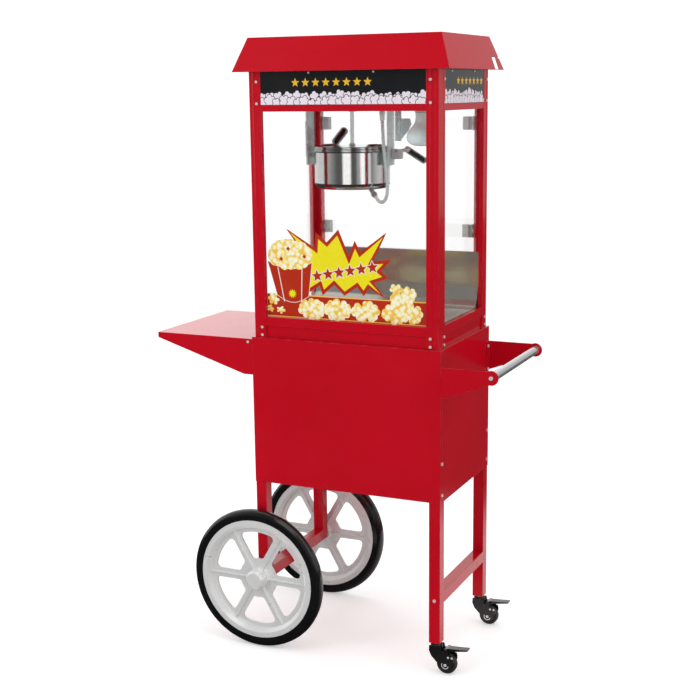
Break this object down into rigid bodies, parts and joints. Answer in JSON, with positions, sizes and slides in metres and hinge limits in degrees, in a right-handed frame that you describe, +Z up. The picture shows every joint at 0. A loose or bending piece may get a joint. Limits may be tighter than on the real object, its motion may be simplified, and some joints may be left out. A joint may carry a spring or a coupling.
{
  "type": "popcorn machine on a wheeled cart",
  "caption": "Glazed popcorn machine with a tilting kettle on a cabinet cart with big side wheels, swivel casters, a side shelf and a push handle.",
  "frame": {"origin": "on the ground, under the middle of the whole cart's outline", "axes": "+Z up; -Y towards the front, where the printed window is; -X towards the side shelf and the big wheels"},
  "size_m": [0.943, 0.456, 1.5777],
  "materials": {
    "red_paint": "gloss powder coat",
    "stainless": "brushed",
    "polished_steel": "polished",
    "sign_black": "gloss, printed",
    "clear_pane": "clear",
    "black_phenolic": "moulded",
    "wheel_plastic": "moulded",
    "tyre_rubber": "smooth",
    "caster_plastic": "moulded",
    "caster_tread": "smooth",
    "lamp_glass": "frosted",
    "motor_aluminium": "cast",
    "zinc": "zinc plated"
  },
  "bodies": {
    "cart": {"cart_legs": "red_paint", "cross_bars": "red_paint", "wheel_axle": "zinc", "cabinet_front_panel": "red_paint", "cabinet_side_panels": "red_paint", "cabinet_plates": "red_paint", "cabinet_rear_frame": "red_paint", "serving_shelf": "red_paint", "handle_plates": "red_paint", "handle_tube": "polished_steel", "cart_fasteners": "zinc", "base_skirt": "red_paint", "corner_posts": "red_paint", "frame_rails": "red_paint", "sign_panels": "sign_black", "control_panel": "stainless", "power_inlet": "black_phenolic", "roof_hood": "red_paint", "ceiling_plate": "red_paint", "window_panes": "clear_pane", "door_hinge_pins": "polished_steel", "chamber_floor": "stainless", "rear_sill": "stainless", "kettle_hangers": "stainless", "gear_motor": "motor_aluminium", "conduit_fitting": "zinc", "lamp_bracket": "stainless", "lamp_bulb": "lamp_glass", "machine_screws": "zinc", "kettle_conduit": "polished_steel"},
    "kettle": {"kettle_pot": "polished_steel", "lid_bridge": "polished_steel", "kettle_heater": "motor_aluminium", "trunnion_brackets": "polished_steel", "dump_handle": "black_phenolic"},
    "front_flap": {"front_lid_flap": "polished_steel"},
    "rear_flap": {"rear_lid_flap": "polished_steel", "lid_grip": "black_phenolic"},
    "stirrer": {"stirrer": "polished_steel"},
    "driver": {"drive_coupling": "polished_steel"},
    "left_door": {"left_glass_door": "clear_pane", "left_door_fittings": "polished_steel"},
    "right_door": {"right_glass_door": "clear_pane", "right_door_fittings": "polished_steel"},
    "cabinet_door": {"cabinet_door": "red_paint", "cabinet_door_knob": "black_phenolic"},
    "drawer": {"crumb_drawer": "stainless"},
    "heat_switch": {"heat_switch": "black_phenolic"},
    "motor_switch": {"motor_switch": "black_phenolic"},
    "lamp_switch": {"lamp_switch": "black_phenolic"},
    "front_wheel": {"front_wheel_rim": "wheel_plastic", "front_wheel_tyre": "tyre_rubber"},
    "rear_wheel": {"rear_wheel_rim": "wheel_plastic", "rear_wheel_tyre": "tyre_rubber"},
    "front_caster_fork": {"front_caster_fork": "caster_plastic"},
    "front_caster_wheel": {"front_caster_wheel": "caster_tread"},
    "front_brake_pedal": {"front_brake_pedal": "caster_plastic"},
    "rear_caster_fork": {"rear_caster_fork": "caster_plastic"},
    "rear_caster_wheel": {"rear_caster_wheel": "caster_tread"},
    "rear_brake_pedal": {"rear_brake_pedal": "caster_plastic"}
  },
  "joints": [
    {"name": "kettle_tilt", "type": "hinge", "parent": "cart", "child": "kettle", "pos_m": [0.0165, -0.006, 1.285], "axis": [1, 0, 0], "range_deg": [0, 65], "deforming": ["kettle_conduit"]},
    {"name": "front_flap_hinge", "type": "hinge", "parent": "kettle", "child": "front_flap", "pos_m": [0.0165, -0.01, 1.312], "axis": [-1, 0, 0], "range_deg": [0, 80]},
    {"name": "rear_flap_hinge", "type": "hinge", "parent": "kettle", "child": "rear_flap", "pos_m": [0.0165, 0.01, 1.312], "axis": [1, 0, 0], "range_deg": [0, 75]},
    {"name": "drive_spin", "type": "hinge", "parent": "cart", "child": "driver", "pos_m": [0.0165, 0, 1.4], "axis": [0, 0, 1], "continuous": true},
    {"name": "stirrer_spin", "type": "hinge", "parent": "kettle", "child": "stirrer", "pos_m": [0.0165, 0, 1.3], "axis": [0, 0, 1], "continuous": true},
    {"name": "left_door_hinge", "type": "hinge", "parent": "cart", "child": "left_door", "pos_m": [-0.146, 0.1696, 1.2], "axis": [0, 0, 1], "range_deg": [0, 115]},
    {"name": "right_door_hinge", "type": "hinge", "parent": "cart", "child": "right_door", "pos_m": [0.283, 0.1696, 1.2], "axis": [0, 0, -1], "range_deg": [0, 115]},
    {"name": "cabinet_door_hinge", "type": "hinge", "parent": "cart", "child": "cabinet_door", "pos_m": [0.272, 0.1864, 0.64], "axis": [0, 0, -1], "range_deg": [0, 110]},
    {"name": "drawer_slide", "type": "slide", "parent": "cart", "child": "drawer", "axis": [0, 1, 0], "range_m": [0, 0.2]},
    {"name": "heat_switch_rock", "type": "hinge", "parent": "cart", "child": "heat_switch", "pos_m": [-0.0015, 0.1756, 1.455], "axis": [-1, 0, 0], "range_deg": [0, 18]},
    {"name": "motor_switch_rock", "type": "hinge", "parent": "cart", "child": "motor_switch", "pos_m": [0.0685, 0.1756, 1.455], "axis": [-1, 0, 0], "range_deg": [0, 18]},
    {"name": "lamp_switch_rock", "type": "hinge", "parent": "cart", "child": "lamp_switch", "pos_m": [0.1385, 0.1756, 1.455], "axis": [-1, 0, 0], "range_deg": [0, 18]},
    {"name": "front_wheel_spin", "type": "hinge", "parent": "cart", "child": "front_wheel", "pos_m": [-0.179, -0.201, 0.188], "axis": [0, 1, 0], "continuous": true},
    {"name": "rear_wheel_spin", "type": "hinge", "parent": "cart", "child": "rear_wheel", "pos_m": [-0.179, 0.201, 0.188], "axis": [0, 1, 0], "continuous": true},
    {"name": "front_caster_swivel", "type": "hinge", "parent": "cart", "child": "front_caster_fork", "pos_m": [0.3115, -0.167, 0.075], "axis": [0, 0, 1], "continuous": true},
    {"name": "front_caster_spin", "type": "hinge", "parent": "front_caster_fork", "child": "front_caster_wheel", "pos_m": [0.3395, -0.167, 0.026], "axis": [0, 1, 0], "continuous": true},
    {"name": "front_brake_press", "type": "hinge", "parent": "front_caster_fork", "child": "front_brake_pedal", "pos_m": [0.3405, -0.167, 0.062], "axis": [0, 1, 0], "range_deg": [0, 18]},
    {"name": "rear_caster_swivel", "type": "hinge", "parent": "cart", "child": "rear_caster_fork", "pos_m": [0.3115, 0.167, 0.075], "axis": [0, 0, 1], "continuous": true},
    {"name": "rear_caster_spin", "type": "hinge", "parent": "rear_caster_fork", "child": "rear_caster_wheel", "pos_m": [0.3395, 0.167, 0.026], "axis": [0, 1, 0], "continuous": true},
    {"name": "rear_brake_press", "type": "hinge", "parent": "rear_caster_fork", "child": "rear_brake_pedal", "pos_m": [0.3405, 0.167, 0.062], "axis": [0, 1, 0], "range_deg": [0, 18]}
  ],
  "couplings": [
    {"joint": "stirrer_spin", "follows": "drive_spin", "ratio": 1}
  ]
}
